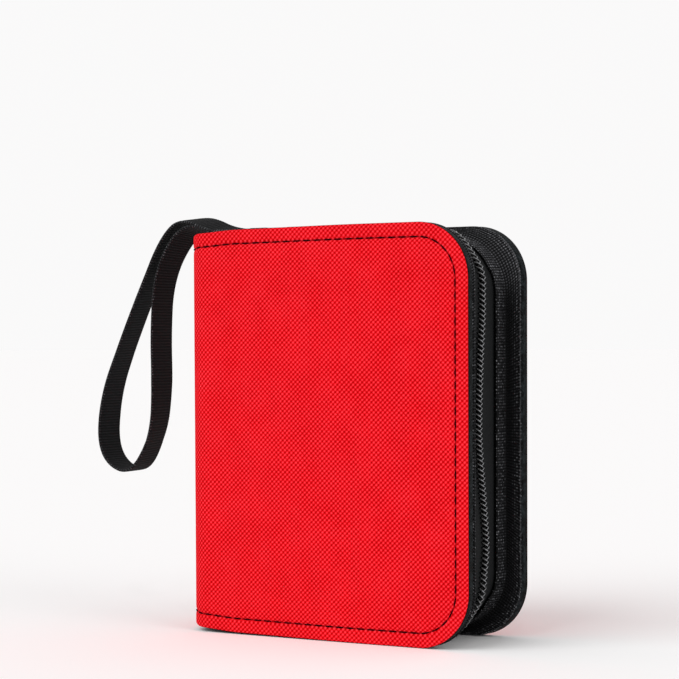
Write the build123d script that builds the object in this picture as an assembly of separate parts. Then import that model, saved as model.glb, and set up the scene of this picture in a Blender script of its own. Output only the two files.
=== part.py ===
from build123d import *
from math import asin, cos, degrees, radians, sin, sqrt, tan
import os

# A mini zippered card binder: two boards and a spine in fabric, a zip gusset between
# the covers, a three-ring mechanism with clear card pages, and a wrist strap.
# It stands on the lower cover edges: X runs from the spine to the fore-edge,
# -Y is the front cover, Z is up, and the origin is the middle of its footprint.

# ---- overall, millimetres ----
HEIGHT = 134.6
WIDTH = 109.2
THICKNESS = 40.6
CORNER_R = 18.0            # cover corners at the fore-edge
SPINE_R = 10.0             # rounded long edges of the spine
SPINE_END_R = 7.0          # rounding of the shell's ends at the spine
SPINE_DROP = 2.6           # how far the spine stops short of the covers' top and bottom

# ---- cover layers ----
SKIN = 1.3                 # outer fabric on its thin foam
BOARD = 2.0
LINING = 1.2
BOARD_INSET = 2.5          # board edge to cover edge
GAP = 0.3                  # clearance between pieces that move apart

# ---- gusset and zip, depths measured in from the covers' fore-edge ----
RECESS = 5.8               # to the gusset's outer face
END_RECESS = 3.0           # the same at the covers' top and bottom
GUSSET_R = 19.0            # gusset's corners
GUSSET = 1.0
GUSSET_EDGE = 8.5          # half distance between the two gusset bands
TAPE = 0.6
TAPE_LAP = 1.2             # tape sewn under the gusset band
TAPE_EDGE = 0.9            # half gap between the two tapes
COIL_H = 1.8
COIL_IN = 0.5              # heads of the coil to the middle line
COIL_NECK = 1.5
COIL_OUT = 3.0
COIL_PITCH = 1.6
COIL_WIRE = 0.8

# ---- end gusset and strap anchor ----
TAB_END = 25.0             # end gusset's reach from the spine face
ANCHOR_L = 6.0
ANCHOR_W = 15.0
ANCHOR_WALL = 0.9
STRAP_W = 12.0
STRAP_T = 1.2

# ---- slider and pull ----
SLIDER_L = 9.5
SLIDER_NOSE = 8.6          # width at the shoulders
SLIDER_TAIL = 7.6
SLIDER_R = 1.6             # the blades' corners
CHANNEL_R = 0.9            # the coil channel's corners
MOUTH_L = 1.7              # how far the flanges stop short of each end
BLADE = 0.9
FLANGE = 0.7
SLIDE_FIT = 0.2            # slider to tape and coil
POST_W = 0.7
POST_L = 3.0
POST_INSET = 0.3           # post behind the blades' wide end
STOP_L = 1.6
BAIL_L = 6.0
BAIL_W = 2.0
BAIL_BAR = 0.7
BAIL_EYE_H = 1.4
PULL_L = 16.0
PULL_W = 5.4
PULL_T = 0.9
PULL_PIN_R = 0.4
PULL_ARM = 1.2
GRIP_MARGIN = 1.6          # grip's recess to the tab's end
GRIP_W = 2.4
GRIP_R = 1.0
GRIP_DEPTH = 0.25

# ---- ring mechanism ----
RING_COUNT = 3
RING_PITCH = 38.0
RING_R = 10.0              # to the middle of the wire
RING_WIRE_R = 1.2
RING_WIRE_FLAT_COUNT = 12  # flats that make the wire's round section
RING_CENTRE = 16.6         # ring centre from the spine's outer face
RING_LEG_Y = 5.0
NOSE_R = 0.5
NOSE_L = 1.0
NOSE_FIT = 0.12
RING_KNEE_R = 2.5          # bend from a ring's leg into its curve
PLATE_REACH = 14.0         # plate's end beyond the outer rings
PLATE_END = 9.0            # flat riveted end of the plate
PLATE_W = 16.0
PLATE_H = 4.2
PLATE_T = 0.6
NOTCH_FIT = 1.0            # plate to ring leg, along the spine
RAIL_FIT = 0.4             # rail to the plate's end walls
RAIL_T = 0.8
RAIL_LIFT = 0.6            # rail above the lining
RAIL_MID = 0.25            # half gap between the rails
RIVET_R = 1.5
RIVET_HEAD_R = 2.8
RIVET_HEAD = 0.6

# ---- card pages ----
PAGES_PER_SIDE = 6
PAGE_PITCH = 1.0
PAGE_FIRST = 0.6           # first page from the middle plane
PAGE_SIDE_ROOM = 3.2       # page to the zip tape at the fore-edge
PAGE_END_ROOM = 9.6        # page to the slider's lower blade
FILM = 0.15
POCKET = 0.3               # room in a pocket for one card
POCKET_FLOOR = 12.0        # bottom of the pocket to the page's lower edge
STRIP = 10.0               # punched strip beside the pocket
HOLE_MARGIN = 5.5          # hole centre to the bound edge
WELD = 2.0
HOLE_L = 6.8
HOLE_W = 4.6
THUMB_R = 9.0
PAGE_CORNER_R = 3.0

# ---- worked out ----
PANEL = SKIN + BOARD + LINING
SPINE_X = -WIDTH / 2
FORE_X = WIDTH / 2
FACE_Y = THICKNESS / 2
BEND_X = SPINE_X + SPINE_R             # centre line of the rounded spine edges
BEND_Y = FACE_Y - SPINE_R
INNER_X = SPINE_X + PANEL              # inside face of the spine
INNER_Y = FACE_Y - PANEL               # inside face of a cover
MID_Z = HEIGHT / 2
TAPE_TOP = RECESS + GUSSET             # depth of the tape's outer face
COIL_TOP = TAPE_TOP - COIL_H
GUSSET_Z = HEIGHT - END_RECESS         # the same faces at the top
TAPE_Z = GUSSET_Z - GUSSET
COIL_Z = TAPE_Z + COIL_H
TAB_X = SPINE_X + TAB_END
TAPE_X = TAB_X + GAP
STOP_X = TAPE_X + GAP
SLIDER_X = STOP_X + STOP_L + GAP       # nose of the parked slider
COIL_X = SLIDER_X + SLIDER_L + GAP     # first coil at the top
RING_X = SPINE_X + RING_CENTRE
RAIL_TOP_X = INNER_X + RAIL_LIFT + RAIL_T
PLATE_L = RING_PITCH * (RING_COUNT - 1) + 2 * PLATE_REACH
ARCH_L = PLATE_L - 2 * PLATE_END       # arched middle of the plate
RAIL_L = ARCH_L - 2 * PLATE_T - 2 * RAIL_FIT
PAGE_T = 2 * FILM + POCKET
PAGE_W = WIDTH - RING_CENTRE - RING_R + HOLE_MARGIN - TAPE_TOP - TAPE - PAGE_SIDE_ROOM
PAGE_H = 2 * (TAPE_Z - TAPE - SLIDE_FIT - BLADE - PAGE_END_ROOM - MID_Z)
POCKET_W = PAGE_W - STRIP - WELD
RING_Z = [MID_Z + RING_PITCH * (i - (RING_COUNT - 1) / 2) for i in range(RING_COUNT)]


# ---- small helpers ----
def slab(sketch, y_low, y_high):
    """A sketch drawn in X and Z, as a solid from y_low to y_high."""
    return extrude(Plane.XZ.offset(-y_high) * sketch, y_high - y_low)


def block(x, y, z):
    """A box between pairs of coordinates."""
    return Pos(sum(x) / 2, sum(y) / 2, sum(z) / 2) * Box(x[1] - x[0], y[1] - y[0], z[1] - z[0])


def rectangle(x, y):
    return Pos(sum(x) / 2, sum(y) / 2) * Rectangle(x[1] - x[0], y[1] - y[0])


def to_back(piece):
    return mirror(piece, Plane.XZ)


def to_bottom(piece):
    return mirror(piece, Plane.XY.offset(MID_Z))


def outline(inset, x_start):
    """The cover's outline drawn in by inset, from x_start to the fore-edge."""
    sheet = rectangle((x_start, FORE_X - inset), (inset, HEIGHT - inset))
    return fillet(sheet.vertices().group_by(Axis.X)[-1], CORNER_R - inset)


def gusset_outline(depth, x_start):
    """The gusset's outline at this depth, nearer the covers' edge at the top and bottom."""
    end = depth - RECESS + END_RECESS
    sheet = rectangle((x_start, FORE_X - depth), (end, HEIGHT - end))
    return fillet(sheet.vertices().group_by(Axis.X)[-1], GUSSET_R + RECESS - depth)


def band(depth, thickness, x_start, y_low, y_high):
    """A strip that runs along the top, the fore-edge and the bottom between the covers."""
    ring = gusset_outline(depth, x_start) - gusset_outline(depth + thickness, x_start - 1)
    return slab(ring, y_low, y_high)


# ---- shell: two covers and a spine, each a skin, a board and a lining ----
def bend(depth, thickness, from_angle, to_angle):
    """Part of the rounded front edge of the spine, between two depths of the shell."""
    wedge = Polygon(
        (0, 0),
        (2 * SPINE_R * cos(radians(from_angle)), 2 * SPINE_R * sin(radians(from_angle))),
        (2 * SPINE_R * cos(radians(to_angle)), 2 * SPINE_R * sin(radians(to_angle))),
        align=None,
    )
    ring = Circle(SPINE_R - depth) - Circle(SPINE_R - depth - thickness)
    return Pos(BEND_X, -BEND_Y) * (ring & wedge)


def trim_to_outline(piece):
    sheet = rectangle((SPINE_X, FORE_X), (0, HEIGHT))
    by_x = sheet.vertices().group_by(Axis.X)
    sheet = fillet(by_x[-1], CORNER_R)
    sheet = fillet(sheet.vertices().group_by(Axis.X)[0], SPINE_END_R)
    return piece & slab(sheet, -THICKNESS, THICKNESS)


def cover_layer(depth, thickness):
    """A layer of the front cover, out to the crease in the middle of the rounded edge."""
    flat = rectangle((BEND_X, FORE_X), (depth - FACE_Y, depth + thickness - FACE_Y))
    return trim_to_outline(extrude(flat + bend(depth, thickness, 225, 270), HEIGHT))


def cover_board():
    depth = SKIN - FACE_Y
    return slab(outline(BOARD_INSET, BEND_X + BOARD_INSET), depth, depth + BOARD)


def spine_layer(depth, thickness):
    flat = rectangle((SPINE_X + depth, SPINE_X + depth + thickness), (-BEND_Y, BEND_Y))
    edge = bend(depth, thickness, 180, 225)
    solid = extrude(flat + edge + mirror(edge, Plane.XZ), HEIGHT)
    notch = rectangle((-BEND_Y - SPINE_DROP, BEND_Y + SPINE_DROP), (-SPINE_DROP, SPINE_DROP))
    notch = fillet(notch.vertices().group_by(Axis.Y)[-1], SPINE_DROP * 0.9)
    notch = Pos(SPINE_X - 1, 0, 0) * extrude(Plane.YZ * notch, 2 * SPINE_R)
    return trim_to_outline(solid - notch - to_bottom(notch))


def spine_board():
    inset = SPINE_DROP + BOARD_INSET
    x = SPINE_X + SKIN
    return block((x, x + BOARD), (-BEND_Y, BEND_Y), (inset, HEIGHT - inset))


def rivets(radius, x_low, x_high):
    """Cylinders at the plate's two rivets, as shafts, heads or holes."""
    reach = (PLATE_L - PLATE_END) / 2
    turned = Rot(0, 90, 0) * Cylinder(radius, x_high - x_low)
    return [Pos((x_low + x_high) / 2, 0, MID_Z + side * reach) * turned for side in (-1, 1)]


# ---- zip gusset ----
def end_gusset():
    """The gusset's T-shaped end at the top of the spine, which carries the strap."""
    inner_r = SPINE_R - PANEL
    base = rectangle((INNER_X, BEND_X), (GAP - INNER_Y, INNER_Y - GAP))
    base = fillet(base.vertices().group_by(Axis.X)[0], inner_r - GAP)
    half = GUSSET_EDGE - GAP
    stem = rectangle((BEND_X, TAB_X), (-half, half))
    return Pos(0, 0, TAPE_Z) * extrude(base + stem, GUSSET)


def gusset_front():
    return band(RECESS, GUSSET, BEND_X + GAP, -INNER_Y, -GUSSET_EDGE)


def tape_front():
    return band(TAPE_TOP, TAPE, TAPE_X, -GUSSET_EDGE - TAPE_LAP, -TAPE_EDGE)


def coil_front(shift):
    """One half of the coil chain: a sewn back with a head at every turn of the coil."""
    back = band(COIL_TOP, COIL_H, TAPE_X, -COIL_OUT, -COIL_NECK)
    back -= block((TAPE_X - 1, COIL_X), (-COIL_OUT - 1, 0), (MID_Z, HEIGHT))
    middle = COIL_TOP + COIL_H / 2
    top = COIL_Z - COIL_H / 2
    path = FilletPolyline(
        (TAPE_X, 0, HEIGHT - top),
        (FORE_X - middle, 0, HEIGHT - top),
        (FORE_X - middle, 0, top),
        (COIL_X, 0, top),
        radius=GUSSET_R + RECESS - middle,
    )
    root = 0.1
    head = Box(COIL_WIRE, COIL_NECK - COIL_IN + root, COIL_H - 2 * root)
    heads = []
    for i in range(int((path.length - COIL_PITCH) / COIL_PITCH)):
        along = ((i + 0.5) * COIL_PITCH + shift) / path.length
        place = Plane(path @ along, x_dir=path % along, z_dir=(path % along).cross(Vector(0, 1, 0)))
        heads.append(Pos(0, -(COIL_IN + COIL_NECK + root) / 2, 0) * (place.location * head))
    return back.fuse(*heads)


def zip_stop():
    x = (STOP_X, STOP_X + STOP_L)
    return block(x, (-COIL_OUT, -TAPE_EDGE), (TAPE_Z, COIL_Z - SLIDE_FIT))


def blade_shape(nose, tail, radius):
    half = SLIDER_L / 2
    shape = Polygon((-half, -nose / 2), (half, -tail / 2), (half, tail / 2), (-half, nose / 2), align=None)
    return fillet(shape.vertices(), radius)


def slider():
    """Two blades on a post, with side flanges over the coil and a bail for the pull."""
    low = TAPE_Z - TAPE - SLIDE_FIT - BLADE
    under_coil = COIL_Z + SLIDE_FIT
    over_tape = TAPE_Z + SLIDE_FIT
    shape = blade_shape(SLIDER_NOSE, SLIDER_TAIL, SLIDER_R)
    channel = blade_shape(SLIDER_NOSE - 2 * FLANGE, SLIDER_TAIL - 2 * FLANGE, CHANNEL_R)
    lower = Pos(0, 0, low) * extrude(shape, BLADE)
    upper = Pos(0, 0, over_tape) * extrude(shape, under_coil + BLADE - over_tape)
    upper -= Pos(0, 0, over_tape) * extrude(channel, under_coil - over_tape)
    half = SLIDER_L / 2
    ends = 2 * COIL_OUT + 2 * SLIDE_FIT
    for side in (-1, 1):
        mouth = sorted((side * (half - MOUTH_L), side * (half + MOUTH_L)))
        upper -= block(mouth, (-ends / 2, ends / 2), (over_tape, under_coil))
    post_x = -half + POST_INSET
    post = block((post_x, post_x + POST_L), (-POST_W / 2, POST_W / 2), (low, under_coil + BLADE))
    top = under_coil + BLADE
    bail = block((-BAIL_L / 2, BAIL_L / 2), (-BAIL_W / 2, BAIL_W / 2), (top, top + BAIL_EYE_H + BAIL_BAR))
    bail = fillet(bail.edges().filter_by(Axis.Y).group_by(Axis.Z)[-1], BAIL_BAR)
    eye = BAIL_L / 2 - BAIL_BAR
    bail -= block((-eye, eye), (-BAIL_W, BAIL_W), (top, top + BAIL_EYE_H))
    return Pos(SLIDER_X + half, 0, 0) * (lower + upper + post + bail)


def pull_axis():
    """Where the pull turns in the bail's eye."""
    blade_top = COIL_Z + SLIDE_FIT + BLADE
    return SLIDER_X + SLIDER_L / 2, blade_top + BAIL_EYE_H / 2


def pull():
    """A flat tab with a yoke whose pin lies in the bail."""
    tab = rectangle((-PULL_ARM / 2, PULL_L), (-PULL_W / 2, PULL_W / 2))
    tab = fillet(tab.vertices().group_by(Axis.X)[-1], PULL_W * 0.4)
    tab = fillet(tab.vertices().group_by(Axis.X)[0], PULL_ARM * 0.45)
    inside = BAIL_W / 2 + GAP
    tab -= rectangle((-PULL_ARM, BAIL_L / 2 + PULL_ARM), (-inside, inside))
    grip = rectangle((PULL_L / 2, PULL_L - GRIP_MARGIN), (-GRIP_W / 2, GRIP_W / 2))
    grip = fillet(grip.vertices(), GRIP_R)
    solid = Pos(0, 0, -PULL_T / 2) * extrude(tab, PULL_T)
    solid -= Pos(0, 0, PULL_T / 2 - GRIP_DEPTH) * extrude(grip, PULL_T)
    solid += Rot(90, 0, 0) * Cylinder(PULL_PIN_R, PULL_W - PULL_ARM)
    x, z = pull_axis()
    return Pos(x, 0, z) * solid


# ---- wrist strap: flat webbing, both ends sewn under the anchor ----
# Its way from the anchor over the spine, down, round and back: each corner as its
# distance beyond the spine face and above the cover's top edge.
STRAP_CORNERS = [
    (22.6, -2.3), (6.0, -2.4), (-5.0, 2.3), (-13.4, -0.1), (-22.5, -14.6),
    (-24.0, -34.6), (-23.5, -53.4), (-25.3, -70.1), (-34.6, -84.8), (-47.7, -77.4),
    (-46.4, -56.8), (-38.0, -37.1), (-28.9, -18.3), (-20.9, -3.0), (-13.1, 4.5),
    (-4.6, 4.1), (5.4, -1.0), (22.6, -0.9),
]
STRAP_ROUTE = [(SPINE_X + x, HEIGHT + z) for x, z in STRAP_CORNERS]


def strap_radii():
    """Each corner's arc, as large as the shorter of its two runs allows."""
    radii = []
    for before, corner, after in zip(STRAP_ROUTE, STRAP_ROUTE[1:], STRAP_ROUTE[2:]):
        one = Vector(corner[0] - before[0], corner[1] - before[1])
        two = Vector(after[0] - corner[0], after[1] - corner[1])
        turn = radians(one.get_angle(two))
        radii.append(0.45 * min(one.length, two.length) / tan(turn / 2))
    return radii


def wrist_strap():
    path = FilletPolyline(*[(x, 0, z) for x, z in STRAP_ROUTE], radius=strap_radii())
    start = Plane(path @ 0, x_dir=(0, 1, 0), z_dir=path % 0)
    strap = sweep(start * Rectangle(STRAP_W, STRAP_T), path=path)
    print("strap length", round(path.length, 1), "radii", [round(r, 1) for r in strap_radii()])
    print("strap volume", round(strap.volume, 1), "section x length", round(path.length * STRAP_W * STRAP_T, 1))
    return strap


def strap_anchor():
    """A folded patch sewn over the strap's two ends on the end gusset."""
    x_high = TAB_X - GAP
    room_y = STRAP_W / 2 + GAP
    room_z = STRAP_ROUTE[-1][1] + STRAP_T / 2 + 0.1
    x = (x_high - ANCHOR_L, x_high)
    patch = block(x, (-ANCHOR_W / 2, ANCHOR_W / 2), (GUSSET_Z, room_z + ANCHOR_WALL))
    patch = fillet(patch.edges().filter_by(Axis.X).group_by(Axis.Z)[-1], ANCHOR_WALL)
    return patch - block((x[0] - 1, x[1] - ANCHOR_WALL), (-room_y, room_y), (GUSSET_Z, room_z))


# ---- ring mechanism ----
def ring_plate():
    """An arched steel cover over the two rails, flat where it is riveted down."""
    arch_r = ((PLATE_W / 2) ** 2 + PLATE_H**2) / (2 * PLATE_H)
    centre = INNER_X + PLATE_H - arch_r
    above = rectangle((INNER_X, INNER_X + PLATE_H), (-PLATE_W / 2, PLATE_W / 2))
    end_wall = Pos(centre, 0) * Circle(arch_r) & above
    arch = end_wall - Pos(centre, 0) * Circle(arch_r - PLATE_T)
    low, high = MID_Z - ARCH_L / 2, MID_Z + ARCH_L / 2
    plate = Pos(0, 0, low) * extrude(arch, ARCH_L)
    for z in (low, high - PLATE_T):
        plate += Pos(0, 0, z) * extrude(end_wall, PLATE_T)
    foot = rectangle((MID_Z - PLATE_L / 2, MID_Z + PLATE_L / 2), (-PLATE_W / 2, PLATE_W / 2))
    foot = fillet(foot.vertices(), PLATE_W * 0.35)
    foot -= rectangle((low, high), (-PLATE_W, PLATE_W))
    plate += extrude(Plane((INNER_X, 0, 0), x_dir=(0, 0, 1), z_dir=(1, 0, 0)) * foot, PLATE_T)
    notch_y = RING_LEG_Y - RING_WIRE_R - GAP
    notch_z = RING_WIRE_R + NOTCH_FIT
    for z in RING_Z:
        for side in (-1, 1):
            y = sorted((side * notch_y, side * PLATE_W))
            plate -= block((INNER_X - 1, INNER_X + PLATE_H + 1), y, (z - notch_z, z + notch_z))
    for hole in rivets(RIVET_R, INNER_X - 1, INNER_X + PLATE_H):
        plate -= hole
    return plate


def plate_rivets():
    """Two rivets that hold the plate to the spine board, their heads on the plate."""
    shafts = rivets(RIVET_R, SPINE_X + SKIN, INNER_X + PLATE_T)
    heads = rivets(RIVET_HEAD_R, INNER_X + PLATE_T, INNER_X + PLATE_T + RIVET_HEAD)
    return Compound([(shaft + head).solid() for shaft, head in zip(shafts, heads)])


def ring_rail_front():
    """A hinged rail under the plate. The legs of one side's half rings stand on it."""
    x = (INNER_X + RAIL_LIFT, INNER_X + RAIL_LIFT + RAIL_T)
    y = (-RING_LEG_Y - RING_WIRE_R / 2, -RAIL_MID)
    rail = block(x, y, (MID_Z - RAIL_L / 2, MID_Z + RAIL_L / 2))
    return fillet(rail.edges().filter_by(Axis.X), RAIL_T)


def ring_half_front(z):
    """Half a ring of round wire: a leg on the rail, a knee and a curve to the closing point."""
    lean = degrees(asin(RING_LEG_Y / RING_R))
    curve = CenterArc((RING_X, 0, z), RING_R, 180 + lean, 180 - lean)
    leg = Line((RAIL_TOP_X, -RING_LEG_Y, z), curve @ 0)
    wire = Wire([leg.edge(), curve.edge()])
    wire = wire.fillet_2d(RING_KNEE_R, wire.vertices().sort_by_distance(curve @ 0)[:1])
    section = RegularPolygon(RING_WIRE_R, RING_WIRE_FLAT_COUNT)
    half = sweep(Plane(wire @ 0, z_dir=wire % 0) * section, path=wire)
    beyond = 2 * RING_WIRE_R
    closed = block((RING_X, RING_X + 2 * RING_R), (-NOSE_FIT / 2, beyond), (z - beyond, z + beyond))
    return half - closed


def nose(radius, length, z):
    """The nose at a ring's closing point, or the socket that it seats in."""
    pin = Rot(90, 0, 0) * Cylinder(radius, length + RING_WIRE_R)
    return Pos(RING_X + RING_R, (length - RING_WIRE_R) / 2, z) * pin


def ring_halves_front():
    return Compound([(ring_half_front(z) + nose(NOSE_R, NOSE_L, z)).solid() for z in RING_Z])


def ring_halves_back():
    fit = NOSE_FIT
    sockets = [to_back(nose(NOSE_R + fit, NOSE_L + fit, z)) for z in RING_Z]
    return Compound([to_back(ring_half_front(z) - hole).solid() for z, hole in zip(RING_Z, sockets)])


# ---- card pages ----
def page(y):
    """A welded clear page with one pocket, open at the top, punched for the rings."""
    hole_x = RING_X + sqrt(RING_R**2 - y**2)
    x = hole_x - HOLE_MARGIN
    z = MID_Z - PAGE_H / 2
    sheet = rectangle((x, x + PAGE_W), (z, z + PAGE_H))
    sheet = fillet(sheet.vertices().group_by(Axis.X)[-1], PAGE_CORNER_R)
    slot = SlotOverall(HOLE_L, HOLE_W)
    for ring_z in RING_Z:
        sheet -= Pos(hole_x, ring_z) * slot
    solid = slab(sheet, y - PAGE_T / 2, y + PAGE_T / 2)
    x_pocket = (x + STRIP, x + STRIP + POCKET_W)
    z_top = z + PAGE_H
    solid -= block(x_pocket, (y - POCKET / 2, y + POCKET / 2), (z + POCKET_FLOOR, z_top + 1))
    thumb = Pos(sum(x_pocket) / 2, z_top) * Circle(THUMB_R)
    return solid - slab(thumb, y - PAGE_T, y)


# ---- build every node ----
def build():
    nodes = {}
    board = cover_board()
    front = {
        "skin": cover_layer(0, SKIN),
        "board": board,
        "lining": cover_layer(SKIN, BOARD + LINING) - board,
        "gusset": gusset_front(),
        "zip_tape": tape_front(),
        "zip_stop": zip_stop(),
    }
    for name, piece in front.items():
        nodes["front_" + name] = piece
        nodes["back_" + name] = to_back(piece)
    nodes["front_zip_coil"] = coil_front(0)
    nodes["back_zip_coil"] = to_back(coil_front(COIL_PITCH / 2))

    nodes["spine_skin"] = spine_layer(0, SKIN)
    nodes["spine_board"] = spine_board()
    nodes["spine_lining"] = spine_layer(SKIN, BOARD + LINING) - nodes["spine_board"]
    for hole in rivets(RIVET_R, SPINE_X + SKIN, INNER_X + 1):
        nodes["spine_board"] -= hole
        nodes["spine_lining"] -= hole
    nodes["end_gusset_top"] = end_gusset()
    nodes["end_gusset_bottom"] = to_bottom(end_gusset())
    nodes["strap_anchor"] = strap_anchor()
    nodes["wrist_strap"] = wrist_strap()
    nodes["zip_slider"] = slider()
    nodes["zip_pull"] = pull()

    nodes["ring_plate"] = ring_plate()
    nodes["ring_plate_rivets"] = plate_rivets()
    nodes["front_ring_rail"] = ring_rail_front()
    nodes["back_ring_rail"] = to_back(ring_rail_front())
    nodes["front_ring_halves"] = ring_halves_front()
    nodes["back_ring_halves"] = ring_halves_back()

    for i in range(PAGES_PER_SIDE):
        y = PAGE_FIRST + PAGE_PITCH * i
        nodes[f"front_page_{i + 1}"] = page(-y)
        nodes[f"back_page_{i + 1}"] = to_back(page(-y))
    return nodes


os.makedirs("parts", exist_ok=True)
for name, piece in build().items():
    export_step(piece, f"parts/{name}.step")
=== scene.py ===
from math import cos, hypot, pi, radians, sin

import bpy
import numpy as np
from mathutils import Matrix, Vector


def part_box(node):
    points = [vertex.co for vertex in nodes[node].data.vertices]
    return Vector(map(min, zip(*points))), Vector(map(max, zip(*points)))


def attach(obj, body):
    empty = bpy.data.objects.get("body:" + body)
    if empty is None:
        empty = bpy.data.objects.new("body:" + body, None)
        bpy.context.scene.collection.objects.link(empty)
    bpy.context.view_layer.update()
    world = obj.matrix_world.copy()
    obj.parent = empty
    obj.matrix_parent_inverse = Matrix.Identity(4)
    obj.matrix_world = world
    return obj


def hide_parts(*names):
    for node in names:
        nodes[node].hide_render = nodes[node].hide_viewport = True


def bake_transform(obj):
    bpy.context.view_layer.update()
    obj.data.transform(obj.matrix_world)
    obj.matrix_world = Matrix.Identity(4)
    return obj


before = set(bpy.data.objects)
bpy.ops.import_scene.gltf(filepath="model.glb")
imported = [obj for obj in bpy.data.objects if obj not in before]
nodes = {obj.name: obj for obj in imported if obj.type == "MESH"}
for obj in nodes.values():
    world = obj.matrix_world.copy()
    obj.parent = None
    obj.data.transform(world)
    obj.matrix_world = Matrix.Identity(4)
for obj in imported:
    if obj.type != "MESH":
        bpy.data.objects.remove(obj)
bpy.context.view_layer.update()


# ---- boards ----
# Two cover boards and a spine board of grey pressed card, which stiffen the case from inside
# its cloth. Cloth and lining hide them, so their finish is plain card with a little mottle.
class Shade:
    """A shader value. A sum or product of shades adds the Math nodes that work it out."""

    def __init__(self, finish, socket):
        self.finish, self.socket = finish, socket

    def math(self, operation, *others):
        """This operation on the shade and the others."""
        return self.finish.node("Math", {"operation": operation}, dict(enumerate((self, *others))))

    def __add__(self, other):
        return self.math("ADD", other)

    def __sub__(self, other):
        return self.math("SUBTRACT", other)

    def __mul__(self, other):
        return self.math("MULTIPLY", other)

    def __truediv__(self, other):
        return self.math("DIVIDE", other)

    def __rsub__(self, other):
        return self.finish.node("Math", {"operation": "SUBTRACT"}, {0: other, 1: self})

    __radd__ = __add__
    __rmul__ = __mul__

    def between(self, low, high):
        """0 below low, 1 above high and smooth between them."""
        settings = {"interpolation_type": "SMOOTHSTEP"}
        return self.finish.node("MapRange", settings, {0: self, 1: low, 2: high, 3: 0.0, 4: 1.0})

    def wave(self, period, shift=0.0):
        """A cosine of this length in period, from 0 to 1."""
        return (self * (2 * pi / period) + shift).math("COSINE") * 0.5 + 0.5


class Finish:
    """A material and the nodes that make it."""

    def __init__(self, name):
        self.material = bpy.data.materials.new(name)
        self.material.use_nodes = True
        self.tree = self.material.node_tree
        self.tree.nodes.clear()

    def node(self, kind, settings, inputs, output=0):
        """A new node with these settings and sockets, as the shade at one of its outputs."""
        node = self.tree.nodes.new("ShaderNode" + kind)
        for name, value in settings.items():
            setattr(node, name, value)
        for name, value in inputs.items():
            if isinstance(value, Shade):
                self.tree.links.new(value.socket, node.inputs[name])
            else:
                node.inputs[name].default_value = value
        return Shade(self, node.outputs[output]) if node.outputs else None

    def mix(self, amount, first, second):
        """A colour between two colours."""
        return self.node("Mix", {"data_type": "RGBA"}, {0: amount, 6: first, 7: second}, 2)

    def cloth_place(self, layer="cloth"):
        """The two values of a mesh's layer. Its cloth layer is in millimetres along and across."""
        place = self.node("UVMap", {"uv_map": layer}, {})
        return [self.node("SeparateXYZ", {}, {0: place}, axis) for axis in (0, 1)]

    def solid_place(self):
        """The place in the object, in millimetres."""
        place = self.node("TexCoord", {}, {}, "Object")
        return self.node("VectorMath", {"operation": "SCALE"}, {0: place, "Scale": 1000.0})

    def solid_axis(self, axis):
        """The place along x, y or z, which are 0, 1 and 2, in millimetres."""
        return self.node("SeparateXYZ", {}, {0: self.solid_place()}, axis)

    def noise(self, scale, detail=2.0):
        """Soft random spots, about this many to a millimetre."""
        inputs = {"Vector": self.solid_place(), "Scale": scale, "Detail": detail}
        return self.node("TexNoise", {}, inputs)

    def bump(self, height, distance, strength):
        """A surface pressed in and out by this height, with the distance in millimetres."""
        inputs = {"Height": height, "Distance": distance * 0.001, "Strength": strength}
        return self.node("Bump", {}, inputs)

    def surface(self, **inputs):
        """The finish itself, from these sockets of one Principled shader."""
        inputs = {name.replace("_", " "): value for name, value in inputs.items()}
        shader = self.node("BsdfPrincipled", {}, inputs)
        self.node("OutputMaterial", {}, {"Surface": shader})
        return self.material


def paint(red, green, blue):
    """A colour from 0 to 255 as it looks, in the linear values that shaders take."""
    parts = [c / 255 for c in (red, green, blue)]
    return *(c / 12.92 if c <= 0.04 else ((c + 0.055) / 1.055) ** 2.4 for c in parts), 1.0


def dress(node, material):
    """A CAD piece that is shown as it is gets this material."""
    slots = nodes[node].data.materials
    slots.clear()
    slots.append(material)


card = Finish("grey_card")
mottle = card.noise(0.5)
card_finish = card.surface(
    Base_Color=card.mix(mottle, paint(128, 119, 106), paint(150, 141, 126)), Roughness=0.85
)
for name in ("front_board", "back_board", "spine_board"):
    dress(name, card_finish)


# ---- cover cloth ----
# Red nylon with a fine diagonal basket weave on a thin foam, one piece over both covers and
# the spine. It is turned over the board's edge, so it dips at the seam and rolls at the rim.
def reach(node):
    """A CAD node's lowest and highest corner, in millimetres."""
    low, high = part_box(node)
    return low * 1000, high * 1000


SIDES = {"front": -1, "back": 1}
SPINE_X = reach("spine_skin")[0].x
FORE_X = reach("front_skin")[1].x
FACE_Y = reach("back_skin")[1].y
HEIGHT = reach("front_skin")[1].z
BEND_Y = reach("spine_board")[1].y          # where the flat of the spine ends
SPINE_R = FACE_Y - BEND_Y                   # the round edge between spine and cover
BEND_X = SPINE_X + SPINE_R                  # where that edge meets the cover
INNER_Y = reach("back_gusset")[1].y         # the covers' inner faces
PANEL = FACE_Y - INNER_Y                    # a cover's thickness
FAR_S = BEND_Y + SPINE_R * pi / 2 + FORE_X - BEND_X     # round the shell to the fore-edge
CORNER_R = 18.0
CLOTH_T = 0.35
SEAM = 4.6                                  # the seam's groove, in from the cover's edge
WEAVE_S, WEAVE_Z = 1.7, 1.6                 # the weave's repeat, across the cover and up it
# How the shell's top edge sinks towards the spine, as (how far, full at this s, gone at this s).
# The spine dips to let the strap out, and the worn cloth sags along the cover beside it.
TOP_SINKS = [(HEIGHT - reach("spine_skin")[1].z, 15.5, 23.0), (0.8, 22.0, 38.0), (0.5, 28.0, 88.0)]


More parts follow.
